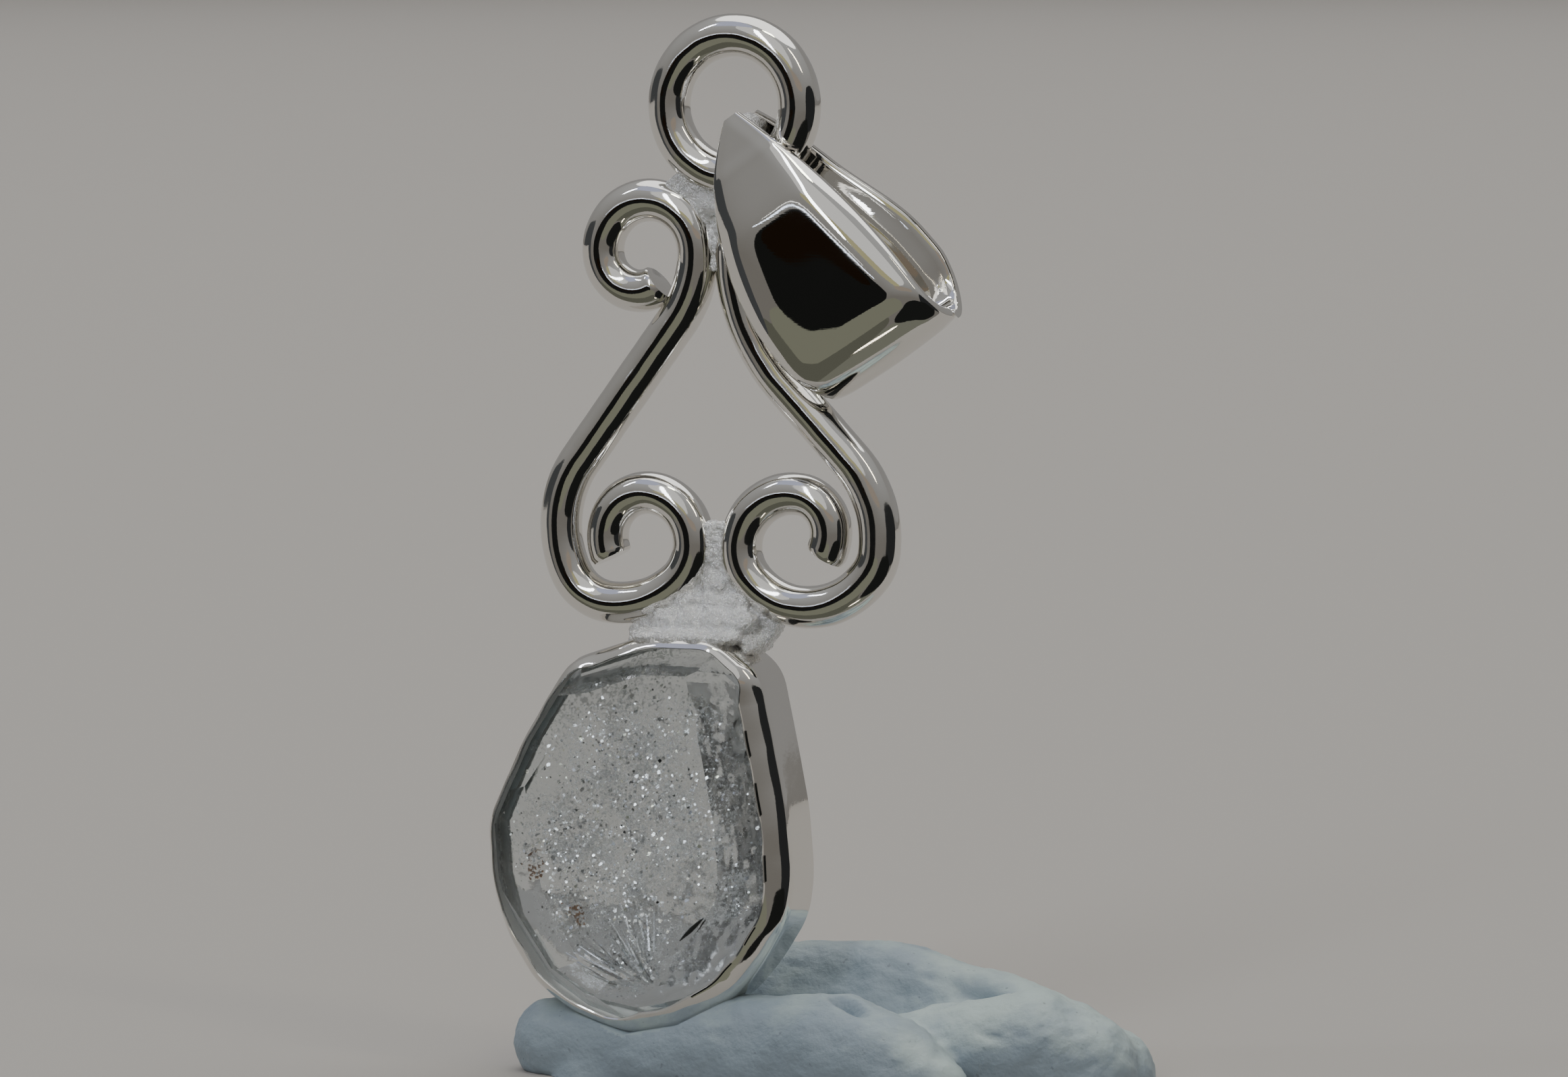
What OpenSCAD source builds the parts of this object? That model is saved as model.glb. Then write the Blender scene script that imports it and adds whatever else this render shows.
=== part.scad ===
// Crystal point pendant: a clear crystal in a deep bezel, under two soldered scrolls, a ring and a folded
// bail. It stands in a lump of putty. Millimetres, Z up, front faces -Y, origin on the flat underside.

/* [Wire] */
// diameter of the round wire in the ring and the scrolls
wire_d = 1.6; // [1.2:0.05:2]
// how far the two scroll wires sit apart at the waist, centre to centre
waist = 1.52; // [1.4:0.01:1.58]
// height of the scrolls' lowest middle above the top of the bezel
scroll_seat = 0.943; // [0.7:0.001:1]

/* [Scrolls] */
// height of the scrolls, from the lowest middle of the wire up to the waist
scroll_h = 13.187; // [12:0.001:15]
// bends of the left scroll from the waist down to its cut end: radius and turn, or 0 and a straight length,
// the lengths as shares of the height
left_down = [[0.3246, -36.6], [0, 0.499], [0.3147, 60.8], [0.1501, 60], [0.2806, 45], [0.1479, 45],
    [0.1403, 90], [0.1259, 90], [0.1365, 32]];
// bends of its top curl, from the waist up and over
left_up = [[0.1456, 180], [0.1122, 90], [0.1016, 40]];
// bends of the right scroll from the waist down to its cut end
right_down = [[0.5308, 43.9], [0, 0.2859], [0.3147, -50.7], [0.1335, -30], [0.2449, -60], [0.207, -45],
    [0.1342, -45], [0.16, -90], [0.1069, -90], [0.1365, -24]];
// bends of its top curl
right_up = [[0.1456, -180], [0.1122, -90], [0.1016, -40]];

/* [Ring] */
// radius of the ring to the middle of its wire
ring_r = 2.6; // [2:0.05:3.5]
// place of the ring's middle, right of the waist
ring_x = 0.69; // [-1:0.01:1]
// how far the ring sits down between the tops of the scrolls
ring_seat = 0.67; // [0.4:0.01:1]

/* [Solder] */
// thickness between the scrolls and the ring, and between the lower curls
solder_t = [1.1, 1.3]; // [0.6:0.1:1.5]

/* [Bezel] */
// width and height of the bezel
bezel_w = 12.27; // [11:0.01:14]
bezel_h = 15.14; // [14:0.01:17]
// place of its left edge, and height of its foot above the table
bezel_x = -8.65; // [-9.5:0.01:-7]
bezel_z = 1.68; // [1:0.01:2.5]
// corners of the bezel seen from the front, clockwise from the top left, as shares of its width and height
corners = [[0.273, 0.9293], [0.5338, 1], [0.7539, 1], [0.8965, 0.9128], [0.9454, 0.7279],
    [0.9837, 0.5694], [1, 0.4042], [0.9821, 0.3018], [0.8965, 0.1896], [0.8028, 0.1004], [0.6398, 0.0291],
    [0.4645, 0], [0.2999, 0.0403], [0.1654, 0.1083], [0.0652, 0.2259], [0.0122, 0.3778], [0, 0.5231],
    [0.1304, 0.7477]];
// how far the rolled lip reaches in over the crystal, for each side in turn
lip = [0.5, 0.5, 0.5, 0.9, 0.9, 0.9, 0.9, 0.9, 0.9, 0.9, 0.8, 0.5, 0.5, 0.5, 0.28, 0.28, 0.28, 0.28];
// thickness of the bezel strip
wall = 0.35; // [0.2:0.05:0.6]
// front of the bezel, forward of the scroll plane
bezel_front = 2.1; // [1.6:0.1:3]
// height of the slope that the rolled lip makes
lip_h = 0.6; // [0.3:0.05:1]
// width of the ledge inside that the crystal rests on
ledge = 0.5; // [0.3:0.05:1]

/* [Crystal] */
// room between the crystal and the silver
crystal_gap = 0.05; // [0.02:0.01:0.1]
// front of the crystal, forward of the scroll plane
crystal_front = 2.7; // [2.2:0.05:3.5]
// front faces: direction that each one leans to, its lean, and where it crosses the front, as a share of the
// bezel's width
faces = [[190, 13, 0.3138], [210, 18, 0.3423], [242, 23, 0.4319], [145, 20, 0.3504], [92, 24, 0.4971],
    [337, 28, 0.4075], [305, 28, 0.4727]];
// middle of the crystal, as shares of the bezel's width and height
crystal_at = [0.5012, 0.5165];

/* [Bail] */
// thickness of the sheet
sheet = 0.55; // [0.4:0.05:0.8]
// length from the ring's middle to the outside of the fold
bail_l = 11.35; // [9:0.1:13]
// widest half width, on the left and on the right
bail_w = [3.62, 2.67]; // [2:0.05:4.5]
// how far along it is widest, on the left and on the right
bail_wide = [7.7, 11]; // [6:0.1:12]
// radius of the left and the right edge
edge_r = [9.7, 24.5]; // [8:0.5:40]
// where the tip starts
tip_at = 0.5; // [0.3:0.05:1]
// half the gap between the panels, carried back to the ring's middle
bail_gap = 0.36; // [0:0.01:0.5]
// lean of each panel from the middle plane, next to the tip
tip_lean = 15.4; // [12:0.1:26]
// lean of each panel past its bend
panel_lean = 2.4; // [1:0.1:10]
// where each panel bends, and how tightly
bend_at = 1.97; // [1.8:0.01:3]
bend_r = 2.2; // [2:0.1:6]
// how far the bail has swung to the right, from straight down
bail_rest = 35.6; // [30:0.1:45]

/* [Putty] */
// length, depth and height of the lump
putty_l = 23.6; // [20:0.1:28]
putty_d = 10; // [9:0.1:14]
putty_h = 4.8; // [4:0.1:6]
// points along the front roll: right, back, height of its top, and radius, as shares of the length, the
// depth, the height and the height
front_roll = [[-0.265, -0.04, 0.594, 0.365], [-0.085, -0.08, 0.625, 0.396], [0.085, -0.1, 0.729, 0.438],
    [0.225, -0.12, 0.771, 0.479], [0.339, -0.14, 0.667, 0.479]];
// points along the rear ridge
rear_ridge = [[-0.119, 0.32, 0.729, 0.458], [0.042, 0.46, 0.958, 0.521], [0.212, 0.5, 1, 0.542],
    [0.364, 0.48, 0.844, 0.521], [0.504, 0.44, 0.667, 0.5], [0.581, 0.4, 0.5, 0.458]];
// points along the lobe on the right
side_lobe = [[0.314, 0.12, 0.604, 0.417], [0.424, 0.18, 0.75, 0.458], [0.551, 0.22, 0.583, 0.458]];
// corners of the pad that joins them, and its height
pad = [[-0.191, -0.04], [0.339, -0.1], [0.508, 0.24], [0.466, 0.4], [0, 0.38]];
pad_h = 0.4375; // [0.3:0.01:0.6]
// room that the bezel has in the putty
socket_gap = 0.15; // [0.05:0.05:0.3]

/* [Hidden] */
$fn = 48;
back = wire_d / 2;
bezel_top = bezel_z + bezel_h;
waist_z = bezel_top + scroll_seat + scroll_h;
ring_z = waist_z + left_up[0][0] * scroll_h + wire_d + ring_r - ring_seat;
sides = len(corners);
outline = [for (p = corners) [bezel_x + p[0] * bezel_w, bezel_z + p[1] * bezel_h]];
strip = [for (v = lip) min(wall, v - 0.1)];
lean_in = [for (v = lip) v - 0.12];
hair = 0.03;
run_on = 0.1;

// The outline moved inwards, by one distance for each side.
function inset(p, by) = [for (i = [0 : sides - 1])
    let (j = (i + sides - 1) % sides,
        a = p[i] - p[j], b = p[(i + 1) % sides] - p[i],
        m = [a[1], -a[0]] / norm(a), n = [b[1], -b[0]] / norm(b),
        det = m[0] * n[1] - m[1] * n[0])
    p[i] + [(by[j] * n[1] - by[i] * m[1]) / det, (by[i] * m[0] - by[j] * n[0]) / det]];

function add(list, v) = [for (x = list) x + v];

// Stands a shape drawn in the scroll plane upright, with its own Z towards the front.
module upright() {
    rotate([90, 0, 0]) children();
}

// Round wire, bend after bend: each piece starts where the last one ends. Every other piece is a hair
// thinner and runs on a little inside the pieces beside it.
module wire(steps, i = 0, thin = 0) {
    if (i < len(steps)) {
        r = steps[i][0] * scroll_h;
        turn = steps[i][1];
        run = turn * scroll_h;
        inner = (i + thin) % 2;
        d = wire_d - inner * hair;
        if (r == 0) {
            translate([-inner * run_on, 0, 0]) rotate([0, 90, 0])
                cylinder(h = run + 2 * inner * run_on, d = d);
            translate([run, 0, 0]) wire(steps, i + 1, thin);
        } else {
            side = sign(turn);
            more = inner * run_on / r * 180 / PI;
            translate([0, side * r, 0])
                rotate([0, 0, (side > 0 ? -90 : 90 + turn) - more])
                    rotate_extrude(angle = abs(turn) + 2 * more) translate([r, 0]) circle(d = d);
            translate([r * sin(abs(turn)), side * r * (1 - cos(turn)), 0])
                rotate([0, 0, turn]) wire(steps, i + 1, thin);
        }
    }
}

// Flat sheet, bent the same way, standing on its edge.
module band(steps, i = 0) {
    if (i < len(steps)) {
        r = steps[i][0];
        turn = steps[i][1];
        inner = i % 2;
        t = sheet - inner * hair;
        h = 4 - inner * 0.2;
        if (r == 0) {
            translate([-inner * run_on, -t / 2, -h]) cube([turn + 2 * inner * run_on, t, 2 * h]);
            translate([turn, 0, 0]) band(steps, i + 1);
        } else {
            more = inner * run_on / r * 180 / PI;
            translate([0, -r, 0])
                rotate([0, 0, 90 + turn - more])
                    rotate_extrude(angle = 2 * more - turn) translate([r - t / 2, -h]) square([t, 2 * h]);
            translate([r * sin(-turn), -r * (1 - cos(turn)), 0])
                rotate([0, 0, turn]) band(steps, i + 1);
        }
    }
}

// A prism on the outline, its front edge cut to a slope on each side.
module sloped(points, from, to, slope_from, slope) {
    difference() {
        translate([0, 0, from]) linear_extrude(to - from) polygon(points);
        for (i = [0 : sides - 1]) {
            a = points[i];
            b = points[(i + 1) % sides];
            translate([a[0], a[1], slope_from])
                rotate([0, 0, atan2(b[1] - a[1], b[0] - a[0])])
                    rotate([atan2(slope[i], lip_h), 0, 0])
                        translate([-3, 0, -0.4]) cube([norm(b - a) + 6, 4, 6]);
        }
    }
}

module left_scroll() {
    translate([-waist / 2, waist_z, 0]) rotate([0, 0, -90]) wire(left_down);
    translate([-waist / 2, waist_z, 0]) rotate([0, 0, 90]) wire(left_up, thin = 1);
}

module right_scroll() {
    translate([waist / 2, waist_z, 0]) rotate([0, 0, -90]) wire(right_down);
    translate([waist / 2, waist_z, 0]) rotate([0, 0, 90]) wire(right_up, thin = 1);
}

module ring() {
    translate([ring_x, ring_z, 0]) rotate_extrude() translate([ring_r, 0]) circle(d = wire_d);
}

// Solder between the scrolls and the ring, and from the lower curls down on to the bezel.
module solder() {
    translate([0, waist_z, -solder_t[0] / 2]) linear_extrude(solder_t[0])
        polygon([[-2.3, 1.65], [-1.9, 2.75], [-1.3, 3.15], [0, 2.65], [2.2, 2.45], [1.4, 1.25], [0, -0.75],
            [-1, 1.05]]);
    translate([0, bezel_top, -solder_t[1] / 2]) linear_extrude(solder_t[1])
        polygon([[-1.1, 3.38], [-0.35, 4.13], [0.35, 4.18], [1.1, 3.38], [1.5, 1.78], [2.9, 0.48],
            [1.9, -0.97], [1, -0.47], [0.4, -0.22], [-2.2, -0.22], [-3.6, -0.67], [-3.7, 0.18],
            [-1.5, 1.88]]);
    translate([0, bezel_top, 0.3]) linear_extrude(solder_t[0])
        polygon([[-2.4, 0.38], [-0.9, 1.28], [1.1, 1.28], [1.9, 0.18], [1.2, -0.62], [0.4, -0.22],
            [-2, -0.2]]);
}

module bezel() {
    difference() {
        sloped(outline, -back, bezel_front, bezel_front - lip_h, lean_in);
        sloped(inset(outline, strip), -0.25, bezel_front + 1, bezel_front - lip_h - 0.35, lean_in);
        translate([0, 0, bezel_front - lip_h - 0.6]) linear_extrude(3) polygon(inset(outline, lip));
        translate([0, 0, -3]) linear_extrude(4) polygon(inset(outline, add(strip, ledge)));
    }
}

module setting() {
    color([0.8, 0.8, 0.78]) upright() {
        left_scroll();
        right_scroll();
        ring();
        solder();
        bezel();
    }
}

module crystal() {
    body = inset(outline, add(strip, crystal_gap));
    middle = [bezel_x + crystal_at[0] * bezel_w, bezel_z + crystal_at[1] * bezel_h];
    color([0.75, 0.77, 0.78, 0.6]) upright() difference() {
        sloped(body, -0.7, crystal_front, bezel_front - lip_h - 0.4, lean_in);
        for (f = faces) {
            translate([middle[0], middle[1], crystal_front])
                rotate([0, 0, f[0]]) translate([f[2] * bezel_w, 0, 0]) rotate([0, f[1], 0])
                    translate([-12, -15, 0]) cube([30, 30, 6]);
        }
        for (i = [0 : sides - 1]) {
            a = body[i];
            b = body[(i + 1) % sides];
            translate([a[0], a[1], 0.5])
                rotate([0, 0, atan2(b[1] - a[1], b[0] - a[0])])
                    rotate([-34, 0, 0]) translate([-3, 0, -6]) cube([norm(b - a) + 6, 4, 6.3]);
        }
    }
}

module bail() {
    t = tan(tip_lean);
    start = bail_gap + sheet / 2 / cos(tip_lean);
    bend_s = bend_at + bend_r * (sin(tip_lean) - sin(panel_lean));
    bend_y = start + bend_at * t + bend_r * (cos(panel_lean) - cos(tip_lean));
    end = bail_l - sheet / 2;
    fold = (bend_y * cos(panel_lean) + (end - bend_s) * sin(panel_lean)) / (1 + sin(panel_lean));
    flat = (end - fold - fold * sin(panel_lean) - bend_s) / cos(panel_lean);
    leg = (bend_at + 0.8) / cos(tip_lean);
    bend = panel_lean - tip_lean;
    color([0.8, 0.8, 0.78]) upright()
        translate([ring_x, ring_z, 0]) rotate([0, 0, bail_rest - 90])
            intersection() {
                union() {
                    rotate([90, 0, 0]) translate([-0.8, start - 0.8 * t, 0]) rotate([0, 0, tip_lean])
                        band([[0, leg], [bend_r, bend], [0, flat], [fold, -180 - 2 * panel_lean], [0, flat],
                            [bend_r, bend], [0, leg]]);
                    translate([tip_at - 0.1, -1.5, -0.7]) cube([0.75, 3, 1.4]);
                }
                translate([0, 0, -4]) linear_extrude(8) intersection() {
                    translate([bail_wide[0], edge_r[0] - bail_w[0]]) circle(edge_r[0]);
                    translate([bail_wide[1], bail_w[1] - edge_r[1]]) circle(edge_r[1]);
                    translate([0, -4]) square([12.5, 8]);
                }
                rotate([90, 0, 0]) translate([0, 0, -4]) linear_extrude(8)
                    polygon([[tip_at, -0.6], [tip_at, 0.6], [tip_at + 0.5, 1.3], [13, 4], [13, -4],
                        [tip_at + 0.5, -1.3]]);
            }
}

// A roll of putty through a run of points, each with its own radius.
module roll(points) {
    for (i = [0 : len(points) - 2]) hull() {
        for (p = [points[i], points[i + 1]]) {
            translate([p[0] * putty_l, p[1] * putty_d, (p[2] - p[3]) * putty_h])
                sphere(p[3] * putty_h, $fn = 28);
        }
    }
}

module putty_stand() {
    color([0.66, 0.72, 0.76]) difference() {
        union() {
            roll(front_roll);
            roll(rear_ridge);
            roll(side_lobe);
            hull() {
                for (p = pad) {
                    translate([p[0] * putty_l, p[1] * putty_d, 0]) sphere(pad_h * putty_h, $fn = 28);
                }
            }
        }
        translate([-putty_l, -putty_l, -putty_h]) cube([3 * putty_l, 3 * putty_l, putty_h]);
        upright() translate([0, 0, -back - socket_gap])
            linear_extrude(back + bezel_front + socket_gap + putty_d)
                polygon(inset(outline, [for (v = lip) -socket_gap]));
    }
}

setting();
crystal();
bail();
putty_stand();
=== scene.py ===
"""A silver pendant with a clear crystal, two scrolls, a ring and a folded bail, standing in putty on a pale floor.

Lengths are worked out in millimetres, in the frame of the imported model, and turned into metres as each mesh is made.
"""

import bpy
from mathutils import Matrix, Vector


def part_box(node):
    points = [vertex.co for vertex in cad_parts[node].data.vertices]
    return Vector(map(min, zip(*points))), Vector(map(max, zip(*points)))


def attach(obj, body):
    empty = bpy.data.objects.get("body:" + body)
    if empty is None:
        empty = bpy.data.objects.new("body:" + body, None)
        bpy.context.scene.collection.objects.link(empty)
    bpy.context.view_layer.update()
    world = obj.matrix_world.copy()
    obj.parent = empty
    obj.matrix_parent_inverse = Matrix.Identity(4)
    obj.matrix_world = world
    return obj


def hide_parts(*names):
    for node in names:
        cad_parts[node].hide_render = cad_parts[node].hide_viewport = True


bl_info = {
    "name": "Crystal point pendant",
    "version": (1, 0, 0),
    "blender": (4, 5, 0),
    "location": "3D View > Sidebar > Pendant",
    "description": "Dresses a packed crystal pendant, its bail and its putty stand, and lights them",
    "category": "Object",
}

import math
import random

import bmesh
import bpy
import numpy as np
from mathutils import Matrix, Vector, noise

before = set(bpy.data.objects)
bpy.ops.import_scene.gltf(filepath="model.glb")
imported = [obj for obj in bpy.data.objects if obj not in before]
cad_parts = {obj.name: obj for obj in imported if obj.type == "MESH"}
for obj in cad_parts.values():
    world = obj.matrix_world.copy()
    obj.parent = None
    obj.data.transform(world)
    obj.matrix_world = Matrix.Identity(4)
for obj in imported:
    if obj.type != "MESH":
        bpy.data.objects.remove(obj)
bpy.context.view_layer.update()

MM = 0.001
SEED = 7


# Measures of the silver, in millimetres

WAIST = 1.52
SCROLL_H = 13.187
BEZEL_W, BEZEL_H = 12.27, 15.14
BEZEL_X, BEZEL_Z = -8.65, 1.68
BEZEL_TOP = BEZEL_Z + BEZEL_H
SCROLL_SEAT = 0.943
WAIST_Z = BEZEL_TOP + SCROLL_SEAT + SCROLL_H
RING_X, RING_Z = 0.69, 36.4

# Bends of the wire: radius as a share of the scroll's height and turn in degrees, or 0 and a straight length
LEFT_DOWN = [(0.3246, -36.6), (0, 0.499), (0.3147, 60.8), (0.1501, 60), (0.2806, 45), (0.1479, 45),
             (0.1403, 90), (0.1259, 90), (0.1365, 32)]
LEFT_UP = [(0.1456, 180), (0.1122, 90), (0.1016, 40)]
RIGHT_DOWN = [(0.5308, 43.9), (0, 0.2859), (0.3147, -50.7), (0.1335, -30), (0.2449, -60), (0.207, -45),
              (0.1342, -45), (0.16, -90), (0.1069, -90), (0.1365, -24)]
RIGHT_UP = [(0.1456, -180), (0.1122, -90), (0.1016, -40)]

# Corners of the bezel from the front, clockwise from the top left, as shares of its width and height
CORNERS = [(0.273, 0.9293), (0.5338, 1), (0.7539, 1), (0.8965, 0.9128), (0.9454, 0.7279), (0.9837, 0.5694),
           (1, 0.4042), (0.9821, 0.3018), (0.8965, 0.1896), (0.8028, 0.1004), (0.6398, 0.0291), (0.4645, 0),
           (0.2999, 0.0403), (0.1654, 0.1083), (0.0652, 0.2259), (0.0122, 0.3778), (0, 0.5231), (0.1304, 0.7477)]
# How far the rolled lip reaches in from each side
LIP = [0.5, 0.5, 0.5, 0.9, 0.9, 0.9, 0.9, 0.9, 0.9, 0.9, 0.8, 0.5, 0.5, 0.5, 0.28, 0.28, 0.28, 0.28]
# The bezel's back and front, and how deep its lip is
BACK, FRONT, LIP_H = 0.8, -2.1, 0.6
# Where the ledge inside it lies, and how far that reaches past the strip
LEDGE_Y, LEDGE = 0.25, 0.5
# The bezel's strip, and the least that the lip reaches past it
WALL, LIP_PAST = 0.35, 0.1
# Where the lip turns under, as a row of the bezel's section
LIP_UNDER = 15

# The crystal: its front and back, and its gap to the strip
STONE_FRONT, STONE_BACK, STONE_GAP = 2.7, 0.22, 0.05
# Where it starts to lean in under the lip, and how much of the lip it leaves free there
SHOULDER_Y, SHOULDER_GAP = -1.1, 0.12
# How far its back is domed, and the most that the natural back lies in from that
STONE_DOME, BACK_MOST = 0.45, 1.1
# Its front faces, as direction, lean and how far from the crystal's middle each crosses the front
STONE_AT = (-2.5, 9.5)
STONE_FACES = [(190, 13, 3.85), (210, 18, 4.2), (242, 23, 5.3), (145, 20, 4.3), (92, 24, 6.1), (337, 28, 5.0),
               (305, 28, 5.8), (20, 16, 4.95), (268, 30, 6.75), (222, 34, 5.95), (55, 26, 6.3), (120, 30, 5.95)]
# Its natural back faces, as direction, lean and where each starts
BACK_FACES = [(200, 9, 0.6), (60, 11, 1.4), (320, 8, 0.9), (120, 12, 2.8), (260, 13, 3.2)]

# Solder: flat webs as corners and a front and back, and rounder runs as middle and half sizes
LOW_WEBS = [([(-1.1, 20.2), (-0.35, 20.95), (0.35, 21.0), (1.1, 20.2), (1.5, 18.6), (2.7, 17.3), (1.9, 16.1),
              (1.0, 16.35), (0.4, 16.6), (-2.2, 16.6), (-3.5, 16.3), (-3.5, 16.9), (-1.5, 18.7)], (-0.4, 0.5))]
LOW_RUNS = ([((x, -1.15, 16.72), (0.75, 0.85, 0.3)) for x in (-2.2, -1.3, -0.3, 0.7)]
            + [((x, -0.75, 17.3), (0.75, 0.55, 0.5)) for x in (-1.6, -0.7, 0.3, 1.2)]
            + [((x, -0.5, 17.9), (0.6, 0.42, 0.5)) for x in (-1.0, 0.0, 0.9)]
            + [((1.6, -0.55, 16.5), (0.45, 0.55, 0.45)), ((0.0, -0.3, 18.6), (0.6, 0.4, 0.6))])
TOP_WEBS = [([(-2.2, 32.7), (-1.9, 33.6), (-1.3, 34.0), (0, 33.6), (2.1, 33.3), (1.4, 32.2), (0, 30.3), (-1, 32)],
             (-0.45, 0.45))]
TOP_RUNS = [((0.05, 0, 32.6), (1.0, 0.62, 0.7))]
# The solder at the bail's tip, in the leaf's own length, width and depth
BAIL_RUN = ((0.85, 0, 0), (0.42, 0.5, 0.7))
# The cell size of the skin that joins the runs
SOLDER_GRAIN = 0.07

# The bail: shape of the folded leaf, in its own length from the ring's middle
BAIL_L = 11.35
BAIL_GAP = 0.36
TIP_AT = 0.5
TIP_LEAN, PANEL_LEAN = math.radians(15.4), math.radians(2.4)
BEND_AT, BEND_R = 1.97, 2.2
# Its left and right edge as arcs: half width at the widest, the length where that is, and the arc's radius
LEFT_EDGE = (3.62, 7.7, 9.7)
RIGHT_EDGE = (2.67, 11.0, 24.5)
BAIL_REST = math.radians(35.6)
# The front panel's bulge at lengths along it, every half millimetre from 1.5, and as a smooth, finer curve
BULGES = [0, 0.0, 0.09, 0.195, 0.3, 0.405, 0.49, 0.515, 0.52, 0.52, 0.515, 0.505, 0.49, 0.47, 0.444, 0.41, 0.35,
          0.27, 0.19, 0.12, 0.08]
SWELL_AT = np.linspace(1.5, 11.5, 201)
SWELL = np.convolve(np.pad(np.interp(SWELL_AT, np.linspace(1.5, 11.5, 21), BULGES), 6, "edge"),
                    np.hanning(13) / np.hanning(13).sum(), "valid")
# The rear panel's share of that bulge; how far its inside turns out along the right edge, and over what width;
# and how far that edge swings to the right, rising and falling between two lengths each
REAR_SHARE = 0.4
REAR_FLARE, REAR_FLARE_W = 0.3, 1.8
REAR_SWING, SWING_RISES, SWING_FALLS = 0.5, (3.5, 7.5), (8.5, 11.0)
# How far polishing has worn the outside down: along the right and the left edge, over a width, and at the lower left,
# rising between two lengths and from a place to the right of the middle
WORN_RIGHT, WORN_LEFT, WORN_W = 0.08, 0.06, 0.7
WORN_LOW, WORN_LOW_RISES, WORN_LOW_FROM = 0.12, (7.0, 10.0), 0.5
# The sheet's section: points across it, the radius and turns of its edges, and its least half width
ACROSS, EDGE_R, EDGE_TURNS = 25, 0.12, (60, 30, 0, -30, -60)
LEAST_HALF = 0.25

# Rolls of putty: right, back, height of the top and radius
FRONT_ROLL = [(-6.25, -0.4, 2.85, 1.75), (-2, -0.8, 3.0, 1.9), (2, -1, 3.5, 2.1), (5.3, -1.2, 3.7, 2.3),
              (7.4, -1.5, 3.1, 2.0), (9.2, -2.0, 1.9, 1.5)]
REAR_RIDGE = [(-2.8, 3.2, 3.5, 2.2), (1, 4.6, 4.6, 2.5), (5, 5, 4.8, 2.6), (8.6, 4.8, 4.05, 2.5),
              (11.9, 4.4, 3.2, 2.4), (13.7, 4, 2.4, 2.2)]
SIDE_LOBE = [(7.4, 1.2, 2.9, 2.0), (10, 1.6, 3.5, 2.1), (11.8, 1.9, 3.8, 2.2), (13.6, 2.4, 2.9, 2.1)]
PAD = [(-4.5, -0.4, 2.1, 2.1), (2, 1.8, 2.1, 2.1), (8, 1.2, 2.1, 2.1), (12, 3, 2.1, 2.1)]
# Creases pressed into the putty: two ends, width and depth
CREASES = [((5.4, -1.6, 3.9), (9.3, -2.9, 0.6), 0.28, 1.1), ((3.4, 0.6, 3.2), (7.2, -0.2, 3.6), 0.35, 0.6),
           ((7.2, -0.2, 3.6), (9.0, 1.6, 3.0), 0.3, 0.45), ((5.6, 3.2, 4.4), (9.5, 3.0, 3.6), 0.25, 0.35),
           ((1.2, 1.6, 3.4), (5.2, 2.4, 4.0), 0.35, 0.4), ((9.5, 3.2, 3.4), (13.0, 3.4, 2.4), 0.25, 0.35),
           ((6.6, 0.9, 3.4), (8.6, 3.2, 3.8), 0.18, 0.25), ((-3.6, -2.3, 2.6), (0.4, -2.9, 2.2), 0.12, 0.07),
           ((10.2, -0.4, 2.6), (12.8, 0.2, 1.6), 0.14, 0.12), ((9.6, 0.4, 3.4), (12.6, 1.2, 2.6), 0.12, 0.1)]
# Shallow finger marks: middle, radius and depth
MARKS = [((3.2, 1.9, 3.7), 1.5, 0.5), ((10.8, 1.0, 2.8), 1.4, 0.2), ((-4.6, -2.2, 1.6), 1.5, 0.15),
         ((2.4, -3.0, 1.6), 1.6, 0.25), ((7.2, 6.6, 2.6), 2.0, 0.2), ((12.6, 5.6, 1.6), 1.6, 0.2),
         ((6.4, 1.8, 3.5), 1.1, 0.7), ((9.2, 3.0, 3.5), 0.9, 0.5), ((4.0, 3.0, 4.3), 0.9, 0.3)]
# The cell size of the skin that joins the rolls
PUTTY_GRAIN = 0.16
# The space that the bezel has pressed: how far in from its outside, and from which depth to which
PRESS_IN, PRESS_DEPTHS = 0.12, (0.7, -8.0)

# Healed fractures in the crystal: middle, the way each one faces, radius and number of flakes
VEILS = [((-4.2, -1.1, 10.6), (-0.3, 1.0, -0.3), 2.6, 620), ((-2.2, -0.9, 11.6), (-0.1, 1.0, -0.22), 2.4, 520),
         ((-5.6, -1.0, 8.8), (-0.2, 1.0, -0.36), 1.7, 620), ((-3.4, -1.2, 8.0), (-0.22, 1.0, -0.2), 2.3, 700),
         ((-0.6, -1.0, 9.4), (-0.12, 1.0, -0.3), 2.1, 430), ((-1.2, -0.8, 13.8), (-0.25, 1.0, -0.16), 2.2, 320),
         ((-3.6, -0.8, 13.2), (-0.1, 1.0, -0.4), 1.9, 300), ((0.6, -1.0, 7.2), (-0.2, 1.0, -0.26), 1.6, 260),
         ((-2.0, -1.0, 5.9), (-0.15, 1.0, -0.3), 1.9, 480), ((-5.0, -0.9, 6.3), (-0.3, 1.0, -0.2), 1.5, 380),
         ((-1.6, -1.3, 10.2), (-0.18, 1.0, -0.26), 3.4, 560), ((-3.6, -0.7, 4.6), (-0.1, 1.0, -0.3), 1.3, 230)]
# How much wider a film is than the spread of its flakes, in how many steps it is made, and how far it waves
FILM_REACH, FILM_STEPS, FILM_WAVE = 1.25, 26, 0.35
# The way that the larger flakes face, and how far a flake may turn from its own facing
SPARKS_FACE = (-0.12, 1.0, -0.26)
FLAKE_LOOSE = 0.17
# A patch without flakes, and the patches of stain: middle and half sizes, as right and up
CLEAR_WINDOW = ((0.3, 5.1), (1.3, 1.5))
STAINS = [((-6.6, 8.0), (0.35, 0.6)), ((-5.0, 6.2), (0.5, 0.3))]
STAIN_FLAKES = 34
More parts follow.
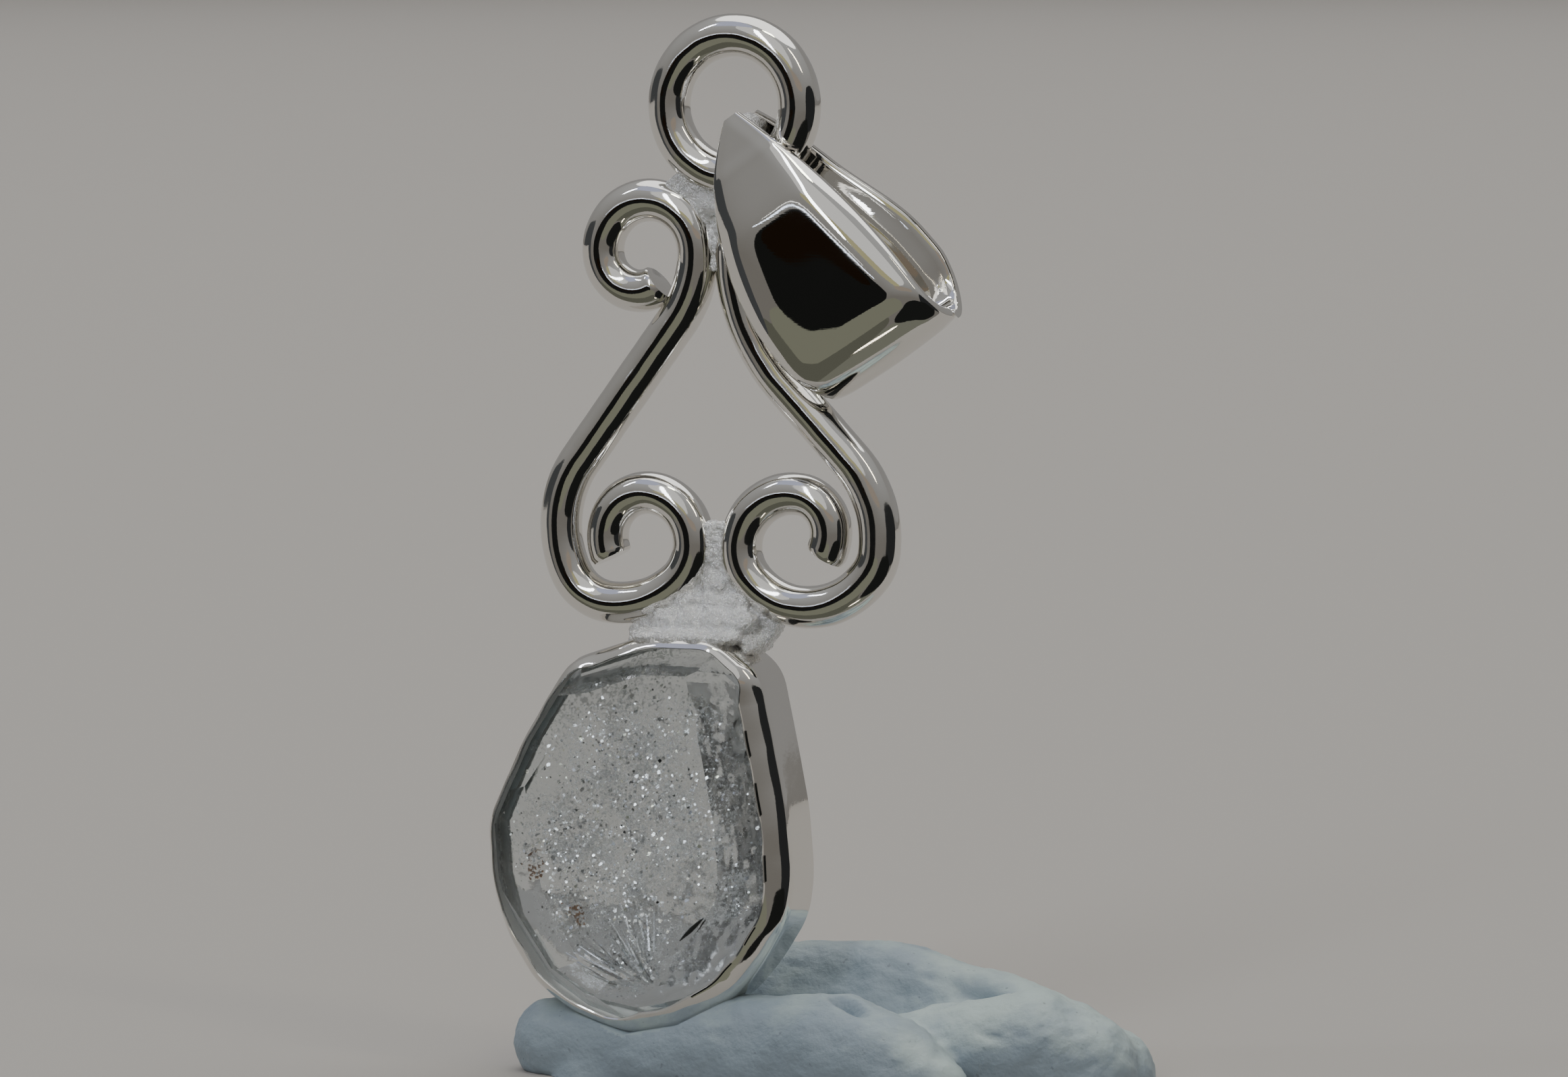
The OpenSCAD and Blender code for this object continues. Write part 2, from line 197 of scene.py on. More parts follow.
# The growth lines: where they fan out from, how many, and the first one's turn and the next one's in degrees
FAN_FOOT, FAN_LINES, FAN_FIRST, FAN_NEXT = (-1.7, 3.4), 34, 92, 2.2
NEEDLE, NEEDLE_R = ((0.42, -2.25, 6.4), (-0.55, -2.15, 5.5)), 0.085
BLACK_DOT, DOT_R = (-1.3, -2.3, 12.2), 0.09

# What the silver mirrors, as cards far away: direction, height above the horizon, width and height in degrees,
# colour and brightness. A later card stands in front of an earlier one.
CARDS = [
    ("below", 20, -88, 70, 70, "#eef0dc", 0.2),
    ("back_sky", 180, 24, 120, 44, "#f4f2f0", 0.3),
    ("overhead", 170, 76, 66, 58, "#ffffff", 1.75),
    ("front_soft", 8, 42, 44, 42, "#ffffff", 0.7),
    ("blue_card", -40, 60, 28, 24, "#dde3ff", 0.65),
    ("olive_card", 2, 22, 34, 9, "#e9e3b4", 0.5),
    ("right_low", 28, 15, 32, 10, "#ffeedd", 0.3),
    ("right_dark", 84, -4, 56, 44, "#dfe4e8", 0.03),
    ("left_shade", -80, -6, 58, 44, "#e8eef4", 0.07),
    ("low_mid", -34, -46, 66, 56, "#f2f4dc", 0.12),
    ("low_band", -12, -26, 60, 34, "#f0f2d8", 0.22),
    ("low_dark", 58, -36, 60, 48, "#dfe6e0", 0.016),
    ("black_flag", -18, -3.5, 32, 20.5, "#e8ece8", 0.012),
    ("brown_card", -20, 2.5, 20, 6, "#7d6248", 0.05),
    ("rim_strip", -21, 7.9, 32, 0.9, "#dce8ff", 3.5),
    ("rim_strip_high", -20, 10.4, 28, 0.5, "#ffffff", 2.5),
    ("front_strip", -4, 37, 6, 40, "#f2f7ff", 9.0),
    ("left_spot", -57, 47, 3, 15, "#eef2ff", 14.0),
    ("right_spot", 70, 42, 3, 24, "#fff4dc", 10.0),
    ("top_spot", 30, 68, 12, 5, "#fbffe8", 12.0),
    ("low_spot", 24, -60, 10, 2.5, "#fff2dc", 6.0),
]
# How far away the first card is, and how much nearer each next one, in metres
CARDS_FAR, CARD_STEP = 8.0, 0.1
# 1 makes a card an oval and 0 a rectangle
CARD_ROUND, CARD_CORNERS = 0.7, 64

# The photograph's view: the camera's turn to the right and its height in degrees, its distance, the place that it looks
# at and the width that it sees there
VIEW_TURN, VIEW_RISE, VIEW_FAR = 22.0, 5.0, 250.0
VIEW_AT = (2.67, 0.0, 20.4)
VIEW_W = 58.1
SENSOR = 36.0


def linear(hex_colour):
    """A hex colour in sRGB as linear red, green, blue and alpha."""
    parts = [int(hex_colour[i:i + 2], 16) / 255 for i in (1, 3, 5)]
    return tuple(c / 12.92 if c <= 0.04045 else ((c + 0.055) / 1.055) ** 2.4 for c in parts) + (1.0,)


def direction(turn, rise):
    """The way out from the object at a turn to the right of its front and a height, both in degrees."""
    a, b = math.radians(turn), math.radians(rise)
    return Vector((math.sin(a) * math.cos(b), -math.cos(a) * math.cos(b), math.sin(b)))


class PendantSizes(bpy.types.PropertyGroup):
    """Sizes that a user would change."""
    wire: bpy.props.FloatProperty(name="Wire", description="Diameter of the round wire", default=1.6 * MM,
                                  unit="LENGTH")
    ring: bpy.props.FloatProperty(name="Ring", description="Radius of the ring to the middle of its wire",
                                  default=2.6 * MM, unit="LENGTH")
    sheet: bpy.props.FloatProperty(name="Sheet", description="Thickness of the bail's sheet", default=0.55 * MM,
                                   unit="LENGTH")
    wall: bpy.props.FloatProperty(name="Bezel wall", description="Thickness of the bezel strip",
                                  default=WALL * MM, unit="LENGTH")
    floor: bpy.props.FloatProperty(name="Floor", description="How far the floor reaches every way", default=12.0,
                                   unit="LENGTH")
    floor_front: bpy.props.FloatProperty(name="Floor in front", default=7 * MM, unit="LENGTH",
                                         description="How far in front of the object the floor's two halves meet")


class PendantColours(bpy.types.PropertyGroup):
    """Colours that a user would change."""
    silver: bpy.props.FloatVectorProperty(name="Silver", description="Colour of the polished silver", size=4,
                                          subtype="COLOR", default=linear("#e6e4df"))
    quartz: bpy.props.FloatVectorProperty(name="Quartz", description="Tint of the clear crystal", size=4,
                                          subtype="COLOR", default=linear("#dfe4e5"))
    putty: bpy.props.FloatVectorProperty(name="Putty", description="Colour of the putty", size=4,
                                         subtype="COLOR", default=linear("#92a0aa"))
    # Painted light: this paler colour is drawn on the putty's upward faces and its right side as if lit there, mixed
    # with dust patches. The base colour above is left on the faces turned away, as painted shade.
    putty_lit: bpy.props.FloatVectorProperty(name="Putty, painted light", description="Colour of the putty where light is painted on, and of its dust",
                                             size=4, subtype="COLOR", default=linear("#b3c2bf"))
    floor: bpy.props.FloatVectorProperty(name="Floor", description="Colour of the floor", size=4,
                                         subtype="COLOR", default=linear("#b0aca7"))


# Making materials

def add(tree, kind, settings=None, links=None):
    """Adds a node, sets its properties and sockets, and links sockets from other nodes' outputs."""
    made = tree.nodes.new(kind)
    for name, value in (settings or {}).items():
        if isinstance(name, str) and hasattr(made, name):
            setattr(made, name, value)
        else:
            made.inputs[name].default_value = value
    for name, (source, output) in (links or {}).items():
        tree.links.new(source.outputs[output], made.inputs[name])
    return made


def new_material(name):
    """A material with only its output node."""
    made = bpy.data.materials.new(name)
    made.use_nodes = True
    made.node_tree.nodes.clear()
    add(made.node_tree, "ShaderNodeOutputMaterial")
    return made


def surfaced(made, settings, links=None, kind="ShaderNodeBsdfPrincipled"):
    """Ends a material with its surface shader."""
    tree = made.node_tree
    shader = add(tree, kind, settings, links)
    tree.links.new(shader.outputs[0], tree.get_output_node("ALL").inputs[0])
    return made


def mm_coordinates(tree):
    """Object coordinates in millimetres, so that a pattern's scale is a real one."""
    place = add(tree, "ShaderNodeTexCoord")
    return add(tree, "ShaderNodeVectorMath", {"operation": "SCALE", "Scale": 1 / MM}, {0: (place, "Object")})


def noise_at(tree, where, scale, detail, roughness=0.5):
    """A noise pattern with its scale per millimetre."""
    return add(tree, "ShaderNodeTexNoise", {"Scale": scale, "Detail": detail, "Roughness": roughness},
               {"Vector": (where, 0)})


def ranged(tree, value, start, end, low=0.0, high=1.0):
    """A value taken from one range to another, and held at its ends."""
    return add(tree, "ShaderNodeMapRange", {"From Min": start, "From Max": end, "To Min": low, "To Max": high},
               {"Value": value})


def sum_of(tree, first, share, second):
    """A share of one value and all of another, added up."""
    return add(tree, "ShaderNodeMath", {"operation": "MULTIPLY_ADD", 1: share}, {0: first, 2: second})


def bumped(tree, pattern, strength, depth):
    """Bumps from a pattern, with their depth in millimetres."""
    return add(tree, "ShaderNodeBump", {"Strength": strength, "Distance": depth * MM}, {"Height": (pattern, "Fac")})


def polished_silver():
    """Sterling silver, buffed by hand: near-mirror, with fine polishing lines that soften the reflections."""
    made = new_material("Sterling silver, buffed")
    tree = made.node_tree
    where = mm_coordinates(tree)
    rough = ranged(tree, (noise_at(tree, where, 0.9, 4.0, 0.6), "Fac"), 0.35, 0.7, 0.03, 0.1)
    bump = bumped(tree, noise_at(tree, where, 2.2, 4.0, 0.55), 0.06, 0.05)
    return surfaced(made, {"Base Color": bpy.context.scene.pendant_colours.silver[:], "Metallic": 1.0},
                    {"Roughness": (rough, 0), "Normal": (bump, 0)})


def sheet_silver():
    """Sterling silver sheet, polished flat: a clear mirror with only the finest haze and a few hairline scratches."""
    made = new_material("Sterling silver sheet, mirror")
    tree = made.node_tree
    where = mm_coordinates(tree)
    rough = ranged(tree, (noise_at(tree, where, 0.5, 3.0), "Fac"), 0.4, 0.7, 0.02, 0.06)
    turned = add(tree, "ShaderNodeMapping", {"Rotation": (0.0, 0.6, 0.0), "Scale": (0.5, 1.0, 9.0)},
                 {"Vector": (where, 0)})
    bump = bumped(tree, noise_at(tree, turned, 1.4, 3.0), 0.02, 0.02)
    return surfaced(made, {"Base Color": bpy.context.scene.pendant_colours.silver[:], "Metallic": 1.0},
                    {"Roughness": (rough, 0), "Normal": (bump, 0)})


def unpolished_silver():
    """Sterling silver inside the bezel, where no buff reaches: pickled and matte, so it shows soft in the crystal."""
    made = new_material("Sterling silver, pickled")
    tree = made.node_tree
    rough = ranged(tree, (noise_at(tree, mm_coordinates(tree), 1.6, 3.0), "Fac"), 0.0, 1.0, 0.45, 0.7)
    return surfaced(made, {"Base Color": linear("#f4f4f0"), "Metallic": 0.7}, {"Roughness": (rough, 0)})


def solder_silver():
    """Silver solder left as it ran and was filed: pitted and grainy, so it glitters white instead of mirroring."""
    made = new_material("Silver solder, filed")
    tree = made.node_tree
    grain = noise_at(tree, mm_coordinates(tree), 5.0, 5.0, 0.65)
    rough = ranged(tree, (grain, "Fac"), 0.35, 0.65, 0.1, 0.36)
    bump = bumped(tree, grain, 1.0, 0.18)
    return surfaced(made, {"Base Color": linear("#ffffff"), "Metallic": 0.85},
                    {"Roughness": (rough, 0), "Normal": (bump, 0)})


def clear_quartz():
    """Rock crystal with its natural faces: clear and glassy, with a faint etched waviness."""
    made = new_material("Rock crystal, natural faces")
    tree = made.node_tree
    etch = noise_at(tree, mm_coordinates(tree), 2.4, 5.0, 0.6)
    bump = bumped(tree, etch, 0.2, 0.06)
    rough = ranged(tree, (etch, "Fac"), 0.45, 0.7, 0.0, 0.12)
    quartz = bpy.context.scene.pendant_colours.quartz[:]
    return surfaced(made, {"Base Color": quartz, "IOR": 1.544, "Transmission Weight": 1.0},
                    {"Roughness": (rough, 0), "Normal": (bump, 0)})


def fracture_glint():
    """Healed fractures in quartz: thin gaps that mirror all light at a slant, so they glint like silver leaf."""
    return plain_material("Healed fracture, mirroring", "#f8f9fa", 0.16, 1.0)


def fracture_veil():
    """A healed fracture as a whole: a film of tiny gaps, so it is a cloud of white, glittering grains."""
    made = new_material("Healed fracture, cloudy")
    tree = made.node_tree
    where = mm_coordinates(tree)
    grain = noise_at(tree, where, 9.0, 3.0, 0.7)
    patches = noise_at(tree, where, 0.75, 3.0)
    fade = add(tree, "ShaderNodeAttribute", {"attribute_name": "fade"})
    shares = sum_of(tree, (patches, "Fac"), 0.5, (grain, "Fac"))
    faded = sum_of(tree, (fade, "Fac"), 0.16, (shares, 0))
    cover = ranged(tree, (faded, 0), 0.88, 1.02, 0.0, 0.7)
    bump = bumped(tree, grain, 1.0, 0.05)
    return surfaced(made, {"Base Color": linear("#ffffff"), "Metallic": 0.8, "Roughness": 0.3},
                    {"Alpha": (cover, 0), "Normal": (bump, 0)})


def plain_material(name, hex_colour, roughness, metallic=0.0):
    """One colour all over."""
    return surfaced(new_material(name),
                    {"Base Color": linear(hex_colour), "Roughness": roughness, "Metallic": metallic})


def kneaded_putty():
    """Polybutene putty, kneaded: matte and dusty, with a fine dimpled skin, and with painted light: paler on its upward
    faces and towards the right.
    """
    colours = bpy.context.scene.pendant_colours
    made = new_material("Polybutene putty, kneaded")
    tree = made.node_tree
    where = mm_coordinates(tree)
    dust = noise_at(tree, where, 0.45, 5.0, 0.6)
    facing = add(tree, "ShaderNodeSeparateXYZ", {}, {0: (add(tree, "ShaderNodeTexCoord"), "Normal")})
    # Painted light from above: faces that point up are pushed towards the paler colour, on top of the dust patches.
    settled = sum_of(tree, (facing, "Z"), 0.45, (dust, "Fac"))
    across = add(tree, "ShaderNodeSeparateXYZ", {}, {0: (where, 0)})
    # Painted light from the right: the colour grows paler towards the right.
    dry = ranged(tree, (across, "X"), 6.0, 10.0, 0.0, 0.28)
    # The dust together with the painted light from above and from the right.
    worn = add(tree, "ShaderNodeMath", {"operation": "ADD"}, {0: (settled, 0), 1: (dry, 0)})
    share = ranged(tree, (worn, 0), 0.78, 1.2)
    tint = add(tree, "ShaderNodeMix", {"data_type": "RGBA", 6: colours.putty[:], 7: colours.putty_lit[:]},
               {0: (share, 0)})
    dark = ranged(tree, (noise_at(tree, where, 3.2, 2.0), "Fac"), 0.7, 0.75, 0.0, 0.4)
    skin = add(tree, "ShaderNodeMix", {"data_type": "RGBA", 7: linear("#5c6163")}, {0: (dark, 0), 6: (tint, 2)})
    bump = bumped(tree, noise_at(tree, where, 5.0, 3.0), 0.5, 0.1)
    return surfaced(made, {"Roughness": 0.55}, {"Base Color": (skin, 2), "Normal": (bump, 0)})


MATERIALS = {}


def material(make, *values):
    """The material that a function makes, made once."""
    key = (make.__name__,) + values
    if key not in MATERIALS:
        MATERIALS[key] = make(*values)
    return MATERIALS[key]


# Making meshes

def mesh_object(name, points, faces, finish, sharp_from=None):
    """A mesh from points in millimetres, shaded smooth, with edges sharp past an angle in degrees."""
    mesh = bpy.data.meshes.new(name)
    mesh.from_pydata((np.asarray(points, float) * MM).tolist(), [], faces)
    mesh.validate()
    mesh.shade_smooth()
    if sharp_from is not None:
        mesh.set_sharp_from_angle(angle=math.radians(sharp_from))
    mesh.materials.append(finish)
    made = bpy.data.objects.new(name, mesh)
    bpy.context.scene.collection.objects.link(made)
    return made


def tube_faces(rings, sides, closed):
    """Faces of a tube of rings, with its two ends capped if it isn't closed."""
    faces = []
    for i in range(rings if closed else rings - 1):
        a, b = i * sides, (i + 1) % rings * sides
        for k in range(sides):
            n = (k + 1) % sides
            faces.append((a + k, a + n, b + n, b + k))
    if not closed:
        faces.append(tuple(range(sides))[::-1])
        faces.append(tuple(range((rings - 1) * sides, rings * sides)))
    return faces


def wire_path(start, heading, bends, spacing=0.14):
    """Points and headings along a run of bends in the plane of the scrolls."""
    x, z = start
    points, headings = [(x, z)], [heading]
    for radius, turn in bends:
        length = abs(math.radians(turn)) * radius * SCROLL_H if radius else turn * SCROLL_H
        count = max(2, round(length / spacing))
        for _ in range(count):
            half = math.radians(turn) / count / 2 if radius else 0.0
            step = length / count * (math.sin(half) / half if half else 1.0)
            heading += half
            x += step * math.cos(heading)
            z += step * math.sin(heading)
            heading += half
            points.append((x, z))
            headings.append(heading)
    return points, headings


def wire_mesh(points, headings, thickness, seed, closed=False, sides=28, filed=0.07):
    """Round wire along a path in the plane of the scrolls, worn a little unevenly, its open ends filed down."""
    rings = []
    total = len(points)
    for i, ((x, z), heading) in enumerate(zip(points, headings)):
        across = np.array([-math.sin(heading), 0.0, math.cos(heading)])
        swell = 0.992 + 0.018 * noise.noise(Vector((i * 0.06, seed, 0.0)))
        for k in range(sides):
            turn = 2 * math.pi * k / sides
            flat = 1.0 + 0.011 * noise.noise(Vector((i * 0.17, seed + 5 + math.sin(turn), math.cos(turn) * 1.6)))
            r = thickness / 2 * min(swell * flat, 1.0)
            rings.append(np.array([x, 0, z]) + across * math.cos(turn) * r + np.array([0, 1, 0]) * math.sin(turn) * r)
    if not closed:
        for end in (0, total - 1):
            middle = np.array([points[end][0], 0, points[end][1]])
            for k in range(end * sides, (end + 1) * sides):
                rings[k] = middle + (rings[k] - middle) * (1 - filed / (thickness / 2))
    return rings, tube_faces(total, sides, closed)


def smooth_step(low, high, value):
    """0 below low, 1 above high, and a smooth rise between them."""
    t = min(max((value - low) / (high - low), 0.0), 1.0)
    return t * t * (3 - 2 * t)


def ellipsoid(middle, halves, rows=16, columns=24):
    """A closed ball with three half sizes, as points and faces."""
    points, faces = [], []
    for i in range(rows + 1):
        up = math.pi * i / rows
        for k in range(columns):
            turn = 2 * math.pi * k / columns
            unit = (math.sin(up) * math.cos(turn), math.sin(up) * math.sin(turn), math.cos(up))
            points.append([m + h * u for m, h, u in zip(middle, halves, unit)])
    for i in range(rows):
        for k in range(columns):
            n = (k + 1) % columns
            faces.append((i * columns + k, (i + 1) * columns + k, (i + 1) * columns + n, i * columns + n))
    return points, faces


def slab(corners, depths):
    """A flat closed block from corners seen from the front, between two depths, as points and faces."""
    count = len(corners)
    points = [(x, y, z) for y in depths for x, z in corners]
    faces = [tuple(range(count)), tuple(range(2 * count - 1, count - 1, -1))]
    faces += [(i, i + count, (i + 1) % count + count, (i + 1) % count) for i in range(count)]
    return points, faces


def skin_of(parts, voxel, smoothing):
    """One closed skin round several closed parts: its points, the way out at each and its faces."""
    mesh = bpy.data.meshes.new("parts")
    points, faces = [], []
    for some, sides in parts:
        faces += [tuple(k + len(points) for k in side) for side in sides]
        points += [tuple(p) for p in some]
    mesh.from_pydata(points, [], faces)
    shaped = bpy.data.objects.new("parts", mesh)
    bpy.context.scene.collection.objects.link(shaped)
    remesh = shaped.modifiers.new("Skin", "REMESH")
    remesh.mode = "VOXEL"
    remesh.voxel_size = voxel
    relax = shaped.modifiers.new("Relax", "SMOOTH")
    relax.factor = 0.6
    relax.iterations = smoothing
    bpy.context.view_layer.update()
    result = shaped.evaluated_get(bpy.context.evaluated_depsgraph_get()).to_mesh()
    skin = np.array([v.co for v in result.vertices])
    normals = np.array([v.normal for v in result.vertices])
    sides = [tuple(p.vertices) for p in result.polygons]
    shaped.to_mesh_clear()
    bpy.data.objects.remove(shaped)
    return skin, normals, sides


def along(points, spacing):
    """Spheres strung along a run of points with a radius each."""
    parts = []
    for (x0, y0, h0, r0), (x1, y1, h1, r1) in zip(points, points[1:]):
        count = max(2, round(math.dist((x0, y0, h0), (x1, y1, h1)) / spacing))
        for i in range(count + 1):
            t = i / count
            r = r0 + (r1 - r0) * t
            middle = (x0 + (x1 - x0) * t, y0 + (y1 - y0) * t, h0 + (h1 - h0) * t - r)
            parts.append(ellipsoid(middle, (r, r, r)))
    return parts


def outline_points():
    """The bezel's corners in millimetres, as right and up."""
    return [np.array([BEZEL_X + x * BEZEL_W, BEZEL_Z + z * BEZEL_H]) for x, z in CORNERS]


def outward_normals():
    """For each side of the outline, the way out, square to the side."""
    corners = outline_points()
    ways = [b - a for a, b in zip(corners, corners[1:] + corners[:1])]
    return [np.array([-w[1], w[0]]) / np.linalg.norm(w) for w in ways]


def rounded_outline(radius=0.7, spacing=0.09):
    """The outline with its corners rounded, evenly spaced, with the side that each point belongs to."""
    corners = outline_points()
    count = len(corners)
    dense, owner = [], []
    for i, corner in enumerate(corners):
        before, after = corners[i - 1], corners[(i + 1) % count]
        a, b = before - corner, after - corner
        cut = min(radius, 0.45 * np.linalg.norm(a), 0.45 * np.linalg.norm(b))
        start, end = corner + a / np.linalg.norm(a) * cut, corner + b / np.linalg.norm(b) * cut
        for k in range(13):
            t = k / 12
            dense.append((1 - t) ** 2 * start + 2 * t * (1 - t) * corner + t * t * end)
            owner.append(i if t > 0.5 else (i - 1) % count)
    dense = np.array(dense + [dense[0]])
    owner.append(owner[0])
    lengths = np.concatenate([[0], np.cumsum(np.linalg.norm(np.diff(dense, axis=0), axis=1))])
    steps = np.linspace(0, lengths[-1], round(lengths[-1] / spacing), endpoint=False)
    points = np.stack([np.interp(steps, lengths, dense[:, k]) for k in (0, 1)], -1)
    sides = [owner[int(np.searchsorted(lengths, s, side="right")) - 1] for s in steps]
    return points, sides


# The pieces

class PENDANT_OT_scrolls(bpy.types.Operator):
    """The left and the right scroll, in round wire"""
    bl_idname = "pendant.scrolls"
    bl_label = "Add the scrolls"

    def execute(self, context):
        thickness = context.scene.pendant_sizes.wire / MM
        silver = material(polished_silver)
        for name, side, down, up in (("left_scroll", -1, LEFT_DOWN, LEFT_UP),
                                     ("right_scroll", 1, RIGHT_DOWN, RIGHT_UP)):
            waist = (side * WAIST / 2, WAIST_Z)
            rising, turns = wire_path(waist, math.pi / 2, up)
            falling, headings = wire_path(waist, -math.pi / 2, down)
            points = rising[:0:-1] + falling
            all_headings = [h + math.pi for h in turns[:0:-1]] + headings
            piece = mesh_object(name, *wire_mesh(points, all_headings, thickness, side + 2), silver, 40)
            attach(piece, "pendant")
            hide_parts("setting")
        return {"FINISHED"}


class PENDANT_OT_ring(bpy.types.Operator):
    """The round ring on top"""
    bl_idname = "pendant.ring"
    bl_label = "Add the ring"

    def execute(self, context):
        sizes = context.scene.pendant_sizes
        count = 150
        turns = [2 * math.pi * i / count for i in range(count)]
        radius = sizes.ring / MM
        points = [(RING_X + radius * math.cos(t), RING_Z + radius * math.sin(t)) for t in turns]
        shape = wire_mesh(points, [t + math.pi / 2 for t in turns], sizes.wire / MM, 9, closed=True)
        piece = mesh_object("top_ring", *shape, material(polished_silver))
        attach(piece, "pendant")
        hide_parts("setting")
        return {"FINISHED"}


class PENDANT_OT_solder(bpy.types.Operator):
    """The solder between the scrolls, the ring and the bezel"""
    bl_idname = "pendant.solder"
    bl_label = "Add the solder"

    def execute(self, context):
        for name, webs, runs in (("low_solder", LOW_WEBS, LOW_RUNS), ("top_solder", TOP_WEBS, TOP_RUNS)):
            parts = [slab(*web) for web in webs] + [ellipsoid(*run) for run in runs]
            points, normals, faces = skin_of(parts, SOLDER_GRAIN, 9)
            for i, (point, normal) in enumerate(zip(points, normals)):
                x, y, z = point
                lump = 0.09 * noise.fractal(Vector(point) * 1.3, 0.8, 2.0, 2)
                lump += 0.045 * noise.fractal(Vector((x * 5 + z * 2, y * 4, z * 2)), 0.7, 2.0, 3)
                points[i] = point + normal * lump
            piece = mesh_object(name, points, faces, material(solder_silver))
            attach(piece, "pendant")
            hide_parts("setting")
        return {"FINISHED"}


class PENDANT_OT_bezel(bpy.types.Operator):
    """The deep bezel with its rolled lip and the ledge inside"""
    bl_idname = "pendant.bezel"
    bl_label = "Add the bezel"

    def execute(self, context):
        wall = context.scene.pendant_sizes.wall / MM
        points, sides = rounded_outline()
        count = len(points)
        reach = np.array([LIP[s] for s in sides])
        window = 9
        spread = np.concatenate([reach[-window:], reach, reach[:window]])
        reach = np.convolve(spread, np.ones(2 * window + 1) / (2 * window + 1), mode="valid")
        ahead, behind = np.roll(points, -2, 0), np.roll(points, 2, 0)
        way = (ahead - behind) / np.linalg.norm(ahead - behind, axis=1)[:, None]
        inward = np.stack([way[:, 1], -way[:, 0]], -1)
        vertices = []
        for i in range(count):
            x, z = points[i]
            lip = reach[i] + 0.07 * noise.noise(Vector((x * 0.8, z * 0.8, 3.0)))
            strip = min(wall, lip - LIP_PAST)
            roll = 0.05 * noise.noise(Vector((x * 0.7, z * 0.7, 8.0)))
            profile = [(strip + LEDGE, BACK), (0.1, BACK), (0.0, BACK - 0.1), (0.0, 0.2), (0.0, -0.6), (0.0, -1.2),
                       (0.01, -1.4), (0.05, -1.56), (0.14 * lip + 0.02, -1.7 + roll), (0.34 * lip, -1.85 + roll),
                       (0.56 * lip, -1.97 + roll * 0.6), (0.78 * lip, -2.05), (0.92 * lip, FRONT + 0.01),
                       (lip, -2.06), (lip + 0.015, -1.98), (lip - 0.03, -1.88), (0.75 * lip + 0.05, -1.74),
                       (strip + 0.08, -1.5), (strip, -1.3), (strip, -0.6), (strip, LEDGE_Y), (strip + LEDGE, LEDGE_Y)]
            for inset, y in profile:
                vertices.append((x + inward[i, 0] * inset, y, z + inward[i, 1] * inset))
        faces = tube_faces(count, len(profile), True)
        piece = mesh_object("bezel", vertices, faces, material(polished_silver), 40)
        piece.data.materials.append(material(unpolished_silver))
        for face in piece.data.polygons:
            face.material_index = int(face.index % len(profile) >= LIP_UNDER)
        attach(piece, "pendant")
        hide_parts("setting")
        return {"FINISHED"}


def stone_planes():
    """The crystal's flat faces, each as a point and the way out, in millimetres."""
    planes = []
    for corner, out, lip in zip(outline_points(), outward_normals(), LIP):
        edge = corner - out * (min(WALL, lip - LIP_PAST) + STONE_GAP)
        planes.append(((edge[0], 0.0, edge[1]), (out[0], 0.0, out[1])))
        planes.append(((edge[0], SHOULDER_Y, edge[1]), (out[0], -(lip - SHOULDER_GAP) / LIP_H, out[1])))
    for turn, lean, where in STONE_FACES:
        a, b = math.radians(turn), math.radians(lean)
        point = (STONE_AT[0] + where * math.cos(a), -STONE_FRONT, STONE_AT[1] + where * math.sin(a))
        planes.append((point, (math.cos(a) * math.sin(b), -math.cos(b), math.sin(a) * math.sin(b))))
    planes.append(((0.0, -STONE_FRONT, 0.0), (0.0, -1.0, 0.0)))
    planes.append(((0.0, STONE_BACK, 0.0), (0.0, 1.0, 0.0)))
    return [(np.array(p), np.array(n) / np.linalg.norm(n)) for p, n in planes]


def inside_stone(places, planes, margin):
    """Which places lie inside the crystal by a margin."""
    spots, ways = np.array([p for p, _ in planes]), np.array([n for _, n in planes])
    return (((places[:, None, :] - spots) * ways).sum(-1) < -margin).all(1)


def stone_mesh(planes):
    """The crystal as points and faces: a block cut by its planes, with an uneven natural back."""
    block = bmesh.new()
    bmesh.ops.create_cube(block, size=40, matrix=Matrix.Translation((STONE_AT[0], 0, STONE_AT[1])))
    for spot, way in planes:
        cut = bmesh.ops.bisect_plane(block, geom=block.verts[:] + block.edges[:] + block.faces[:], dist=1e-5,
                                     plane_co=spot, plane_no=way, clear_outer=True)
        edges = [e for e in cut["geom_cut"] if isinstance(e, bmesh.types.BMEdge)]
        if edges:
            bmesh.ops.contextual_create(block, geom=edges)
    back = max(block.faces, key=lambda f: f.calc_center_median().y)
    for edge in list(back.edges):
        cuts = int(edge.calc_length() / 0.14)
        if cuts:
            bmesh.ops.subdivide_edges(block, edges=[edge], cuts=cuts)
    rim = [np.array(v.co) for v in back.verts]
    block.verts.index_update()
    points = [np.array(v.co) for v in block.verts]
    faces = [tuple(v.index for v in f.verts) for f in block.faces if f != back]
    start = [v.index for v in back.verts]
    block.free()
    middle = sum(rim) / len(rim)
    count, rings = len(rim), 44
    last = start
    for ring in range(1, rings):
        share = ring / rings
        first = len(points)
        for p in rim:
            place = p + (middle - p) * share
            dome = STONE_DOME * smooth_step(0.1, 0.8, share)
            points.append(place + np.array([0, dome - back_depth(place, smooth_step(0.0, 0.12, share)), 0]))
        now = list(range(first, first + count))
        faces += [(last[k], last[(k + 1) % count], now[(k + 1) % count], now[k]) for k in range(count)]
        last = now
    faces.append(tuple(last))
    return points, faces


